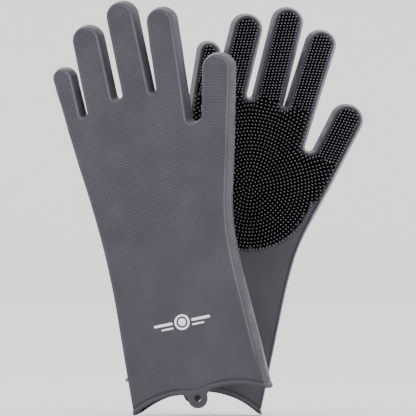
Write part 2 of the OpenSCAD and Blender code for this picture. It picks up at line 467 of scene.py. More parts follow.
@dataclass
class Outline:
    """Outline of a glove as it lies flat, and how far points are from it.

    Attributes:
        glove: Measures of the glove.
        webs: Height of each web above the hang hole, from the little finger to the thumb.
        taper: How much narrower a digit's half width is at its tip.
        below: How far the blank reaches below the hang hole before its mouth is cut.
        points: The finished outline.
    """

    glove: GloveFrame
    webs: tuple[float, ...] = (255.0 * MM, 263.0 * MM, 263.0 * MM, 230.5 * MM)
    taper: float = 0.3 * MM
    below: float = 20 * MM
    points: np.ndarray = field(default_factory=lambda: np.zeros((0, 2)))

    def corners(self) -> list[tuple[float, float, float]]:
        """Lists the corners, clockwise from the hem on the little finger side.

        Returns:
            One (x, y, rounding) for each corner.
        """
        g = self.glove
        slope = (g.hem_half - g.wrist_half) / g.wrist_y
        low = g.hem_half + slope * self.below
        found = [
            (-low, -self.below, 0.0),
            (-g.wrist_half, g.wrist_y, 30 * MM),
            (-g.wrist_half - 3.0 * MM, g.wrist_y + 56 * MM, 22 * MM),
            (-g.wrist_half - 8.6 * MM, g.wrist_y + 108 * MM, 16 * MM),
        ]
        for i, digit in enumerate(g.digits):
            tip = digit.half - self.taper
            if i > 0:
                web = self.webs[i - 1]
                gap = self._edge(digit, -1, web).x - self._edge(g.digits[i - 1], 1, web).x
                found.append((*self._edge(g.digits[i - 1], 1, web).xy, 0.49 * gap))
                found.append((*self._edge(digit, -1, web).xy, 0.49 * gap))
            for side in (-1, 1):
                found.append((*digit.at(side * tip, digit.length).xy, 0.9999 * tip))
        thumb = g.digits[-1]
        found += [
            (*thumb.at(thumb.half, -46 * MM).xy, 18 * MM),
            (g.wrist_half + 2.2 * MM, g.wrist_y + 34 * MM, 16 * MM),
            (g.wrist_half, g.wrist_y, 20 * MM),
            (low, -self.below, 0.0),
        ]
        return found

    def _edge(self, digit: Digit, side: int, height: float) -> Vector:
        """Finds where a digit's side line is at a height.

        Args:
            digit: The digit.
            side: -1 for its little finger side, 1 for its thumb side.
            height: Height above the hang hole.

        Returns:
            The point on the side line.
        """
        below = (height - digit.hinge.y) / math.cos(digit.lean)
        point = digit.at(side * digit.half, below)
        return Vector((point.x, height, 0.0))

    def blank(self) -> bmesh.types.BMesh:
        """Draws the outline as one face, its corners rounded with bevels.

        Returns:
            A bmesh that holds the face.
        """
        bm = bmesh.new()
        verts = []
        for x, y, rounding in self.corners():
            verts.append((bm.verts.new((x, y, 0.0)), rounding))
        bm.faces.new([v for v, _ in reversed(verts)])
        for vert, rounding in verts:
            if rounding > 0.0:
                bmesh.ops.bevel(bm, geom=[vert], offset=rounding, offset_type="OFFSET", segments=10,
                                profile=0.5, affect="VERTICES", material=-1, clamp_overlap=False)
        bmesh.ops.remove_doubles(bm, verts=bm.verts, dist=0.2 * MM)
        bm.normal_update()
        face = max(bm.faces, key=lambda f: f.calc_area())
        if face.normal.z < 0:
            bmesh.ops.reverse_faces(bm, faces=[face])
        self.points = np.array([loop.vert.co.xy for loop in face.loops])
        return bm

    def distance(self, where: np.ndarray) -> np.ndarray:
        """Measures how far points are inside the outline, negative outside.

        Args:
            where: Points, one row each.

        Returns:
            Their distances.
        """
        start = self.points
        step = np.roll(start, -1, axis=0) - start
        result = np.full(len(where), 1e9)
        inside = np.zeros(len(where), bool)
        for a, d in zip(start, step):
            rel = where - a
            t = np.clip(rel @ d / max(d @ d, 1e-18), 0.0, 1.0)
            result = np.minimum(result, np.hypot(*(rel - t[:, None] * d).T))
            crosses = (rel[:, 1] < 0) != (rel[:, 1] < d[1])
            with np.errstate(divide="ignore", invalid="ignore"):
                at = rel[:, 1] / d[1] * d[0]
            inside ^= crosses & (rel[:, 0] < at)
        return np.where(inside, result, -result)

    def slope(self, where: np.ndarray, axis: int, nudge: float) -> np.ndarray:
        """Measures how fast the distance grows along one axis of the flat plane.

        Args:
            where: Points, one row each.
            axis: 0 towards the thumb, 1 towards the fingertips.
            nudge: How far to each side of a point it is measured.

        Returns:
            Growth of the distance for each metre, one value for each point.
        """
        step = np.eye(2)[axis] * nudge
        return (self.distance(where + step) - self.distance(where - step)) / (2 * nudge)


def smoothstep(low: float, high: float, value: np.ndarray) -> np.ndarray:
    """Eases from 0 at low to 1 at high.

    Args:
        low: Where it is 0.
        high: Where it is 1.
        value: Values to ease.

    Returns:
        The eased values.
    """
    t = np.clip((value - low) / (high - low), 0.0, 1.0)
    return t * t * (3.0 - 2.0 * t)


@dataclass
class Surface:
    """Height of the back and palm faces over the middle plane of a glove.

    Attributes:
        outline: The glove's outline.
        roll: Sideways slant of the glove as it lies, towards the little finger on the back.
        crown: Rise of the faces between their edges.
        rim: Distance from the outline at which the crown starts.
        reach: Distance over which it rises.
        bead: Height of the bead around the faces.
        bead_in: Distance from the outline to the inner foot of the bead.
        bead_w: Width of the bead's inner slope.
        wave: Height of the soft waves near the hem.
    """

    outline: Outline
    roll: float = 0.1
    crown: float = 1.5 * MM
    rim: float = 4.0 * MM
    reach: float = 24 * MM
    bead: float = 0.75 * MM
    bead_in: float = 4.3 * MM
    bead_w: float = 1.3 * MM
    wave: float = 1.3 * MM

    def place(self, x: np.ndarray, y: np.ndarray, z: np.ndarray) -> np.ndarray:
        """Slants points sideways as the glove lies.

        Args:
            x: Places towards the thumb.
            y: Places above the hang hole.
            z: Heights over the middle plane.

        Returns:
            The points, one row each.
        """
        return np.stack([x - self.roll * z, y, z], axis=1)

    def half_thickness(self, y: np.ndarray) -> np.ndarray:
        """Gives the half thickness at the edge of the faces.

        Args:
            y: Heights above the hang hole.

        Returns:
            Half thicknesses.
        """
        g = self.outline.glove
        fingers = g.digits[2].hinge.y
        upper = smoothstep(fingers - 62 * MM, fingers + 2 * MM, y)
        lower = smoothstep(g.wrist_y + 25 * MM, g.wrist_y - 75 * MM, y)
        hand = g.hand_half_t + (g.cuff_half_t - g.hand_half_t) * lower
        return hand + (g.digit_half_t - hand) * upper

    def height(self, x: np.ndarray, y: np.ndarray, depth: np.ndarray, back: bool) -> np.ndarray:
        """Gives the height of a face over the middle plane.

        Args:
            x: Places towards the thumb.
            y: Places above the hang hole.
            depth: Distances inside the outline.
            back: True for the back of the hand, False for the palm.

        Returns:
            Heights, all positive.
        """
        g = self.outline.glove
        share = np.clip((depth - self.rim) / self.reach, 0.0, 1.0)
        crown = self.crown * (1.0 - (1.0 - share) ** 2)
        near_hem = smoothstep(80 * MM, 4 * MM, y) * share
        turn = 1.0 if back else -0.6
        waves = np.cos((x + 26 * MM) / (0.42 * g.hem_half)) + 0.5 * np.sin(x / (0.30 * g.hem_half) + 1.0)
        sides = 0.35 * MM * np.sin(y / (31 * MM) + x / (47 * MM)) * share
        fade = 0.45 + 0.55 * smoothstep(g.wrist_y - 40 * MM, g.wrist_y + 30 * MM, y)
        bead = self.bead * fade * smoothstep(self.bead_in, self.bead_in - self.bead_w, depth)
        return self.half_thickness(y) + crown + bead + turn * self.wave * near_hem * waves + sides


# ---------------------------------------------------------------- pieces


def finish_piece(name: str, bm: bmesh.types.BMesh, glove: GloveFrame, material: bpy.types.Material,
                 tone: np.ndarray | None = None, shade: np.ndarray | None = None) -> bpy.types.Object:
    """Places a flat bmesh in the pair and makes it a dressed object.

    Args:
        name: Name of the piece without the side.
        bm: Its mesh in the glove's flat axes; it is freed.
        glove: Measures of the glove.
        material: Its finish.
        tone: Value of the "tone" attribute for each vertex, or None for 1 everywhere.
        shade: The same for the "shade" attribute, which holds painted light and shade.

    Returns:
        The new object.
    """
    bmesh.ops.transform(bm, matrix=glove.matrix, verts=bm.verts)
    if glove.side is Side.RIGHT:
        bmesh.ops.reverse_faces(bm, faces=bm.faces)
    mesh = bpy.data.meshes.new(f"{glove.side.value}_{name}")
    bm.to_mesh(mesh)
    bm.free()
    for polygon in mesh.polygons:
        polygon.use_smooth = True
    for key, given in (("tone", tone), ("shade", shade)):
        values = np.ones(len(mesh.vertices)) if given is None else given
        mesh.attributes.new(key, "FLOAT", "POINT").data.foreach_set("value", values.astype(np.float32))
    piece = bpy.data.objects.new(mesh.name, mesh)
    bpy.context.scene.collection.objects.link(piece)
    piece.data.materials.append(material)
    LOG.info("%s: %d faces", piece.name, len(mesh.polygons))
    return piece


def widen(bm: bmesh.types.BMesh, ring: list[bmesh.types.BMVert]) -> list[bmesh.types.BMVert]:
    """Adds a strip of faces around a closed ring, always in the ring's own order.

    Args:
        bm: The mesh.
        ring: The ring's points in order.

    Returns:
        The strip's outer points in the same order, still at the places of the ring's.
    """
    outer = [bm.verts.new(v.co) for v in ring]
    for i in range(len(ring)):
        bm.faces.new((ring[i], ring[i - 1], outer[i - 1], outer[i]))
    return outer


def scatter(template: bmesh.types.BMesh, places: list[Matrix]) -> bmesh.types.BMesh:
    """Copies a small shape to many places.

    Args:
        template: The shape; it is freed.
        places: Where each copy goes.

    Returns:
        A bmesh with all copies, in order.
    """
    small = bpy.data.meshes.new("template")
    template.to_mesh(small)
    template.free()
    count = len(small.vertices)
    bm = bmesh.new()
    for _ in places:
        bm.from_mesh(small)
    for i, vert in enumerate(bm.verts):
        vert.co = places[i // count] @ vert.co
    bpy.data.meshes.remove(small)
    return bm


@dataclass
class Skin:
    """The one-piece wall of a glove, cut into the stretches that follow each body.

    Attributes:
        surface: Height of its faces.
        wall: Thickness of the silicone.
        draft: How much narrower the faces are than the parting line.
        edge: Radius of the ridge around the faces.
        steps: Segments of that radius.
        rings: Widths of the mesh rings across the bead.
        cell: Spacing of the mesh over the faces.
        hem_height: Height of the rolled hem.
        hem_rings: Number of mesh rings across it.
        hem_out: How far it stands out.
        swell: How far the parting line of the hand stands out of flat side walls.
        hem_rise: Rise of the mouth's two arches above its corners.
        arch: Distance from the middle line to the top of each arch.
    """

    surface: Surface
    wall: float = 1.4 * MM
    draft: float = 1.8 * MM
    edge: float = 0.8 * MM
    steps: int = 3
    rings: tuple[float, ...] = (0.3 * MM, 0.4 * MM, 0.4 * MM, 0.4 * MM, 0.5 * MM)
    cell: float = 3.0 * MM
    hem_height: float = 3.9 * MM
    hem_rings: int = 6
    hem_out: float = 1.3 * MM
    swell: float = 1.0 * MM
    hem_rise: float = 10.0 * MM
    arch: float = 22.0 * MM

    def __post_init__(self) -> None:
        """Keeps short names for the outline and the glove."""
        self.outline = self.surface.outline
        self.glove = self.outline.glove

    def build(self) -> bmesh.types.BMesh:
        """Makes the closed outer surface with its mouth open.

        Returns:
            The surface in the glove's flat axes.
        """
        bm = self.outline.blank()
        back = list(bm.faces)[0]
        copy = bmesh.ops.duplicate(bm, geom=list(bm.faces))
        palm = next(g for g in copy["geom"] if isinstance(g, bmesh.types.BMFace))
        bmesh.ops.reverse_faces(bm, faces=[palm])
        for face in (back, palm):
            self._raise(bm, face)
        bmesh.ops.remove_doubles(bm, verts=bm.verts, dist=0.001 * MM)
        self._cut(bm)
        self._shape(bm)
        return bm

    def _raise(self, bm: bmesh.types.BMesh, face: bmesh.types.BMFace) -> None:
        """Raises one face from the parting line with its draft and its rounded ridge.

        Args:
            bm: The mesh.
            face: The face to raise.
        """
        half = self.glove.digit_half_t
        bmesh.ops.inset_region(bm, faces=[face], thickness=self.draft, depth=half - self.edge,
                               use_even_offset=True, use_boundary=True)
        for k in range(self.steps):
            low = k * math.pi / 2 / self.steps
            high = (k + 1) * math.pi / 2 / self.steps
            bmesh.ops.inset_region(bm, faces=[face], thickness=self.edge * (math.cos(low) - math.cos(high)),
                                   depth=self.edge * (math.sin(high) - math.sin(low)),
                                   use_even_offset=True, use_boundary=True)
        for width in self.rings:
            bmesh.ops.inset_region(bm, faces=[face], thickness=width, depth=0.0,
                                   use_even_offset=True, use_boundary=True)

    def _slice(self, bm: bmesh.types.BMesh, where: Vector, normal: Vector, faces: list | None = None,
               clear: bool = False) -> None:
        """Cuts the mesh along a plane.

        Args:
            bm: The mesh.
            where: A point on the plane.
            normal: Its normal.
            faces: Faces to cut, or None for all.
            clear: True to remove what lies behind the plane.
        """
        chosen = bm.faces if faces is None else faces
        edges = dict.fromkeys(e for f in chosen for e in f.edges)
        verts = dict.fromkeys(v for f in chosen for v in f.verts)
        bmesh.ops.bisect_plane(bm, geom=list(verts) + list(edges) + list(chosen), dist=0.002 * MM,
                               plane_co=where, plane_no=normal, clear_inner=clear)

    def _cut(self, bm: bmesh.types.BMesh) -> None:
        """Cuts the even mesh, the mouth and the lines between the zones.

        Args:
            bm: The mesh.
        """
        up = Vector((0.0, 1.0, 0.0))
        self._slice(bm, Vector(), up, clear=True)
        top = max(v.co.y for v in bm.verts)
        side = max(abs(v.co.x) for v in bm.verts)
        for i in range(1, int(top / self.cell) + 1):
            self._slice(bm, up * (i * self.cell), up)
        for i in range(-int(side / self.cell), int(side / self.cell) + 1):
            self._slice(bm, Vector(((i + 0.5) * self.cell, 0.0, 0.0)), Vector((1.0, 0.0, 0.0)))
        for i in range(1, self.hem_rings + 3):
            self._slice(bm, up * (i * self.hem_height / self.hem_rings), up)
        self._slice(bm, up * self.cuff_top, up)
        flank = self.glove.tab_radius
        for x in (flank - 1.0 * MM, flank + 0.5 * MM, flank + 2.5 * MM):
            for side in (-1, 1):
                self._slice(bm, Vector((side * x, 0.0, 0.0)), Vector((1.0, 0.0, 0.0)))
        for digit in self.glove.digits:
            own = [f for f in bm.faces if self.near(digit, f.calc_center_median(), 8 * MM)]
            self._slice(bm, digit.at(0.0, -digit.start), digit.along, own)

    @property
    def cuff_top(self) -> float:
        """Height at which the cuff's stretch of skin meets the hand's."""
        return self.glove.wrist_y + 21 * MM

    @property
    def groove(self) -> float:
        """Height of the fine groove over the hem, from the mouth's edge."""
        return self.hem_height * (1.0 + 1.0 / self.hem_rings)

    @staticmethod
    def near(digit: Digit, point: Vector, below: float) -> bool:
        """Says whether a point is on a digit.

        Args:
            digit: The digit.
            point: The point.
            below: How far under the start of its skin still counts.

        Returns:
            True if it is.
        """
        rel = Vector((point.x, point.y, 0.0)) - digit.hinge
        beside = abs(rel.dot(digit.across)) < digit.half + 2.5 * MM
        return beside and rel.dot(digit.along) > -digit.start - below

    def hem_line(self, x: np.ndarray) -> np.ndarray:
        """Gives the height of the edge of the mouth.

        Args:
            x: Places towards the thumb.

        Returns:
            Heights above the hang hole.
        """
        g = self.glove
        share = np.clip((np.abs(x) - self.arch) / (g.hem_half - self.arch), -1.0, 1.0)
        return g.hem_low + self.hem_rise * (1.0 - share ** 2)

    def hem_bulge(self, y: np.ndarray) -> np.ndarray:
        """Gives how far the rolled hem stands out, with a fine groove above it.

        Args:
            y: Places above the straight mouth.

        Returns:
            Distances outwards.
        """
        share = np.clip(y / self.hem_height, 0.0, 1.0)
        roll = self.hem_out * np.sin(math.pi * np.clip(0.12 + 0.88 * share, 0.0, 1.0)) ** 0.7
        groove = 0.6 * MM * np.exp(-(((y - self.groove) / (0.45 * MM)) ** 2))
        return np.where(y < self.hem_height, roll, 0.0) - groove

    def _shape(self, bm: bmesh.types.BMesh) -> None:
        """Moves the points to the real thickness, crown, waves and hem line.

        Args:
            bm: The mesh.
        """
        co = np.array([v.co for v in bm.verts])
        x, y, z = co.T
        depth = self.outline.distance(co[:, :2])
        flat = self.glove.digit_half_t
        share = np.clip(np.abs(z) / (flat - self.edge), 0.0, 1.0)
        for back in (True, False):
            own = z > 0 if back else z < 0
            high = self.surface.height(x, y, depth, back)
            z = np.where(own, z + np.sign(z) * (high - flat) * share, z)
        at_tab = smoothstep(self.glove.tab_radius + 4 * MM, self.glove.tab_radius, np.abs(x))
        bulge = self.hem_bulge(y) * np.where(z > 0, 1.0 - at_tab, 1.0)
        side = smoothstep(self.draft + self.edge, 0.0, depth)
        y = y + self.hem_line(x) * smoothstep(40 * MM, 0.0, co[:, 1])
        z = z + np.sign(z) * bulge * share
        x = x + np.sign(x) * bulge * side
        east = self.outline.slope(co[:, :2], 0, 0.3 * MM)
        swell = self.swell * smoothstep(1.6 * MM, 0.7 * MM, depth)
        x = x - swell * smoothstep(self.cuff_top, self.cuff_top + 60 * MM, co[:, 1]) * east
        for vert, place in zip(bm.verts, self.surface.place(x, y, z)):
            vert.co = place

    def zone_of(self, face: bmesh.types.BMFace) -> str:
        """Names the zone of a face of the finished surface.

        Args:
            face: The face.

        Returns:
            A Zone value or a digit's name.
        """
        centre = face.calc_center_median()
        for digit in self.glove.digits:
            if self.near(digit, centre, 0.0):
                return digit.name
        if centre.y > self.cuff_top:
            return Zone.HAND.value
        line = float(self.hem_line(np.array([centre.x + self.surface.roll * centre.z]))[0])
        return Zone.HEM.value if centre.y - line < self.hem_height else Zone.CUFF.value


@dataclass
class Dots:
    """Micro dots on the back of the hand.

    Attributes:
        pitch: Spacing in a row.
        row: Spacing of the rows, as a share of the pitch.
        inset: Smooth border left inside the outline.
        radius: Radius at the foot.
        height: Height over the skin.
        rise: Height of the lowest dots above the wrist, on the middle line.
        arc: How much higher they start at the sides.
        shade: Painted highlight: how much paler than the skin the dots are drawn, as they catch the light.
    """

    pitch: float = 2.75 * MM
    row: float = 0.87
    inset: float = 4.1 * MM
    radius: float = 0.78 * MM
    height: float = 0.6 * MM
    rise: float = 28 * MM
    arc: float = 14 * MM
    shade: float = 1.62

    def line(self, glove: GloveFrame, x: np.ndarray) -> np.ndarray:
        """Gives the height at which the dots end, a shallow arc.

        Args:
            glove: Measures of the glove.
            x: Places towards the thumb.

        Returns:
            Heights above the hang hole.
        """
        return glove.wrist_y + self.rise + self.arc * ((x - 6 * MM) / glove.wrist_half) ** 2

    def shape(self) -> bmesh.types.BMesh:
        """Makes one dot, a low dome.

        Returns:
            The dot, standing on the origin.
        """
        bm = bmesh.new()
        bmesh.ops.create_cone(bm, cap_ends=True, segments=8, radius1=self.radius, radius2=self.radius * 0.62,
                              depth=self.height)
        rim = [e for e in bm.edges if all(v.co.z > 0 for v in e.verts)]
        bmesh.ops.bevel(bm, geom=rim, offset=self.height * 0.45, offset_type="OFFSET", segments=1,
                        profile=0.5, affect="EDGES", material=-1)
        bottom = [f for f in bm.faces if f.normal.z < -0.5]
        bmesh.ops.delete(bm, geom=bottom, context="FACES")
        bmesh.ops.translate(bm, verts=bm.verts, vec=(0.0, 0.0, self.height * 0.4))
        return bm

    def spots(self, glove: GloveFrame, digit: Digit | None) -> list[tuple[float, float]]:
        """Lays out staggered rows over the hand or along a digit.

        Args:
            glove: Measures of the glove.
            digit: The digit, or None for the hand.

        Returns:
            Candidate places in the flat plane.
        """
        row = self.pitch * self.row
        rows = range(-6, 50) if digit is None else range(-12, 32)
        half = round(1.5 * glove.wrist_half / self.pitch) if digit is None else 6
        spots = []
        for i in rows:
            for k in range(-half, half + 1):
                across = (k + 0.5 * (i % 2)) * self.pitch
                if digit is None:
                    spots.append((across, glove.wrist_y + self.rise + i * row))
                else:
                    spots.append(tuple(digit.at(across, i * row).xy))
        return spots


@dataclass
class Bristles:
    """Bristles of the palm side.

    Attributes:
        pitch: Spacing on the palm.
        row_pitch: Spacing on the digits.
        border: Smooth border left inside the outline.
        ring_radius: Radius of the field's round lower edge.
        ring_x: Its centre, from the middle line.
        ring_drop: Its centre, below the middle finger's hinge.
        slant: Slant of the rows on the digits, in radians.
        foot: Radius of a bristle at its foot.
        tip: Radius at its tip.
        fan: Outward lean of the outermost bristles of a digit, as a slope.
        palm_fan: The same for the palm.
        fan_width: Distance over which that lean fades inwards.
        wobble: Random lean of each bristle, as a slope.
        sink: How deep its foot stands in the skin.
        foot_shade_power: Painted shade: how late a digit's bristle turns from near-black at its shaded foot to pale at
            its lit tip, as a power.
        palm_foot_shade_power: The same for the palm.
    """

    pitch: float = 3.0 * MM
    row_pitch: float = 2.5 * MM
    border: float = 4.9 * MM
    ring_radius: float = 54 * MM
    ring_x: float = 2 * MM
    ring_drop: float = 92 * MM
    slant: float = math.radians(16.0)
    foot: float = 0.74 * MM
    tip: float = 0.56 * MM
    fan: float = 0.2
    palm_fan: float = 0.6
    fan_width: float = 8 * MM
    wobble: float = 0.02
    sink: float = 0.25 * MM
    foot_shade_power: int = 4
    palm_foot_shade_power: int = 7

    def middle(self, glove: GloveFrame) -> Vector:
        """Gives the centre of the rings of bristles."""
        return Vector((self.ring_x, glove.digits[2].hinge.y - self.ring_drop))

    def field(self, glove: GloveFrame, where: np.ndarray, depth: np.ndarray, soft: float) -> np.ndarray:
        """Says how far places are inside the field of bristles.

        Args:
            glove: Measures of the glove.
            where: Places in the flat plane, one row each.
            depth: Their distances inside the outline.
            soft: Width of the field's edge, just outside it.

        Returns:
            0 outside to 1 inside.
        """
        middle = self.middle(glove)
        ring = np.hypot(where[:, 0] - middle.x, where[:, 1] - middle.y)
        round_edge = smoothstep(self.ring_radius + soft, self.ring_radius, ring)
        above = smoothstep(middle.y - soft, middle.y, where[:, 1])
        return smoothstep(self.border - soft, self.border, depth) * np.maximum(round_edge, above)

    def shape(self, length: float) -> bmesh.types.BMesh:
        """Makes one bristle: a tapered pin with a rounded tip.

        Args:
            length: Its length.

        Returns:
            The pin, standing on the origin along +z.
        """
        bm = bmesh.new()
        bmesh.ops.create_cone(bm, cap_ends=True, segments=6, radius1=self.foot, radius2=self.tip,
                              depth=length)
        bmesh.ops.translate(bm, verts=bm.verts, vec=(0.0, 0.0, length / 2))
        bottom = [f for f in bm.faces if f.normal.z < -0.5]
        bmesh.ops.delete(bm, geom=bottom, context="FACES")
        rim = [e for e in bm.edges if all(v.co.z > length * 0.9 for v in e.verts)]
        bmesh.ops.bevel(bm, geom=rim, offset=self.tip * 0.55, offset_type="OFFSET", segments=2, profile=0.5,
                        affect="EDGES", material=-1)
        return bm

    def ring_spots(self, glove: GloveFrame) -> list[tuple[float, float]]:
        """Lays out the palm's bristles in rings around its middle.

        Args:
            glove: Measures of the glove.

        Returns:
            Candidate places in the flat plane.
        """
        centre = self.middle(glove)
        spots = [tuple(centre)]
        for ring in range(1, round(2 * self.ring_radius / self.pitch)):
            radius = ring * self.pitch
            count = max(6, round(2 * math.pi * ring))
            for k in range(count):
                angle = 2 * math.pi * (k + 0.5 * (ring % 2)) / count
                spots.append((centre.x + radius * math.cos(angle), centre.y + radius * math.sin(angle)))
        return spots

    def row_spots(self, digit: Digit) -> list[tuple[float, float]]:
        """Lays out a digit's bristles in slanting rows.

        Args:
            digit: The digit.

        Returns:
            Candidate places in the flat plane.
        """
        spots = []
        for i in range(-9, 50):
            for k in range(-6, 7):
                across = k * self.row_pitch
                along = -digit.start + i * self.row_pitch + across * math.tan(self.slant)
                spots.append(tuple(digit.at(across, along).xy))
        return spots


@dataclass
class HangTab:
    """Lobe with the hang hole, drawn out of the back wall at the mouth.

    Attributes:
        skin: The glove's skin.
        spokes: Number of mesh spokes around the hole.
        profile: Rings from the hole to the edge, each as (share of the way, rise over the skin).
        flare: How much wider the lobe gets where it meets the hem.
        flare_low: Height at which it starts to widen.
    """

    skin: Skin
    spokes: int = 72
    profile: tuple[tuple[float, float], ...] = (
        (0.0, -0.5 * MM), (0.06, 0.1 * MM), (0.16, 0.3 * MM), (0.32, 0.3 * MM), (0.42, 0.0),
        (0.60, 0.0), (0.72, -0.05 * MM), (0.80, 0.35 * MM), (0.92, 0.35 * MM), (0.98, 0.1 * MM),
        (1.0, -0.4 * MM))
    flare: float = 5.0 * MM
    flare_low: float = 1.0 * MM

    def reach(self, angle: float) -> float:
        """Gives the distance from the hole's centre to the lobe's edge.

        Args:
            angle: Direction, from the thumb side.

        Returns:
            The distance.
        """
        glove = self.skin.glove
        run = glove.tab_radius
        if math.sin(angle) <= 0.0:
            return run
        while True:
            x = abs(run * math.cos(angle))
            y = run * math.sin(angle)
            share = max(0.0, (y - self.flare_low) / (self.skin.hem_rise - self.flare_low - 4 * MM))
            if y > glove.tab_top or x > glove.tab_radius + self.flare * min(1.0, share) ** 2:
                return run
            run += 0.1 * MM

    def build(self) -> bmesh.types.BMesh:
        """Makes the lobe's outer face.

        Returns:
            The face in the glove's flat axes.
        """
        glove = self.skin.glove
        hole = glove.hole_radius
        bm = bmesh.new()
        made = bmesh.ops.create_circle(bm, cap_ends=False, segments=self.spokes, radius=hole)
        ring = list(made["verts"])
        rises = dict.fromkeys(ring, self.profile[0][1])
        for share, rise in self.profile[1:]:
            ring = widen(bm, ring)
            for vert in ring:
                angle = math.atan2(vert.co.y, vert.co.x)
                run = hole + (self.reach(angle) - hole) * share
                vert.co = (run * math.cos(angle), run * math.sin(angle), 0.0)
                rises[vert] = rise
        bmesh.ops.recalc_face_normals(bm, faces=bm.faces)
        if sum(f.normal.z for f in bm.faces) < 0:
            bmesh.ops.reverse_faces(bm, faces=bm.faces)
        co = np.array([v.co for v in bm.verts])
        deep = np.full(len(co), self.skin.surface.rim + self.skin.surface.reach)
        high = self.skin.surface.height(co[:, 0], np.maximum(co[:, 1], 0.0), deep, True)
        merging = smoothstep(1.0 * MM, 5.0 * MM, co[:, 1])
        sunk = 0.6 * MM * smoothstep(4.5 * MM, 10.0 * MM, co[:, 1])
        rise = np.array([rises[v] for v in bm.verts]) * (1.0 - merging) + 0.12 * MM
        for vert, place in zip(bm.verts, self.skin.surface.place(co[:, 0], co[:, 1], high + rise - sunk)):
            vert.co = place
        return bm


@dataclass
class PrintMark:
    """Plain printed badge between bars, on the back of the left cuff.

    Attributes:
        disc: Radius of the badge's middle.
        ring_in: Inner radius of the ring around it.
        ring_out: Outer radius of that ring.
        bars: Bars on each side, as (middle from the badge, height, length, width).
        lift: Height of the ink over the skin.
        slice: Spacing of the cuts that let the ink follow the skin.
    """

    disc: float = 3.4 * MM
    ring_in: float = 4.9 * MM
    ring_out: float = 6.6 * MM
    bars: tuple[tuple[float, float, float, float], ...] = (
        (16.5 * MM, 0.4 * MM, 16.5 * MM, 2.4 * MM), (13.5 * MM, -3.6 * MM, 10.5 * MM, 1.5 * MM))
    lift: float = 0.12 * MM
    slice: float = 2.2 * MM

    def build(self, surface: Surface, middle: Vector) -> bmesh.types.BMesh:
        """Makes the mark on the skin.

        Args:
            surface: The glove's faces.
            middle: Middle of the badge.

        Returns:
            The ink in the glove's flat axes.
        """
        bm = bmesh.new()
        bmesh.ops.create_circle(bm, cap_ends=True, segments=32, radius=self.disc)
        ring = bmesh.ops.create_circle(bm, cap_ends=False, segments=32, radius=self.ring_in)["verts"]
        outer = widen(bm, ring)
        bmesh.ops.scale(bm, vec=(self.ring_out / self.ring_in,) * 2 + (1.0,), verts=outer)
        for away, height, length, width in self.bars:
            for side in (-1, 1):
                made = bmesh.ops.create_circle(bm, cap_ends=True, segments=16, radius=width / 2)["verts"]
                for vert in made:
                    vert.co.x += math.copysign((length - width) / 2, vert.co.x)
                bmesh.ops.translate(bm, vec=(side * away, height, 0.0), verts=made)
        cuts = round(60 * MM / self.slice)
        for i in range(-cuts // 2, cuts // 2):
            bmesh.ops.bisect_plane(bm, geom=list(bm.verts) + list(bm.edges) + list(bm.faces), dist=0.01 * MM,
                                   plane_co=((i + 0.5) * self.slice, 0.0, 0.0), plane_no=(1.0, 0.0, 0.0))
        down = [f for f in bm.faces if f.normal.z < 0]
        bmesh.ops.reverse_faces(bm, faces=down)
        bmesh.ops.translate(bm, vec=middle, verts=bm.verts)
        co = np.array([v.co for v in bm.verts])
        depth = surface.outline.distance(co[:, :2])
        high = surface.height(co[:, 0], co[:, 1], depth, True) + self.lift
        for vert, place in zip(bm.verts, surface.place(co[:, 0], co[:, 1], high)):
            vert.co = place
        return bm


@dataclass
class Shading:
    """Painted light and shade on the skin: paler and darker places, as amounts added to an even shade of 1.

    Attributes:
        bed: Painted shade between the bristles, where the skin lies in their shadow.
        bed_soft: Width over which that fades out at the field's edge.
        ridge: Painted highlight on the rounded ridge of the back.
        ridge_depth: How far that ridge lies inside the outline.
        ridge_width: Its half width.
        ridge_least: Share of that highlight that stays on the side away from the thumb.
        groove: Painted shade in the groove over the hem.
        groove_width: Half width of the groove.
        hand_walls: Painted light on the side walls of the hand, which lie in the shadow of their neighbours.
        cuff_walls: Painted shade on the side walls of the cuff.
        dark: Painted shade under which a face takes the near-black finish of the skin between the bristles.
    """

    bed: float = -0.93
    bed_soft: float = 0.9 * MM
    ridge: float = 1.4
    ridge_depth: float = 3.4 * MM
    ridge_width: float = 0.7 * MM
    ridge_least: float = 0.25
    groove: float = -0.4
    groove_width: float = 0.6 * MM
    hand_walls: float = 0.3
    cuff_walls: float = -0.35
    dark: float = 0.3


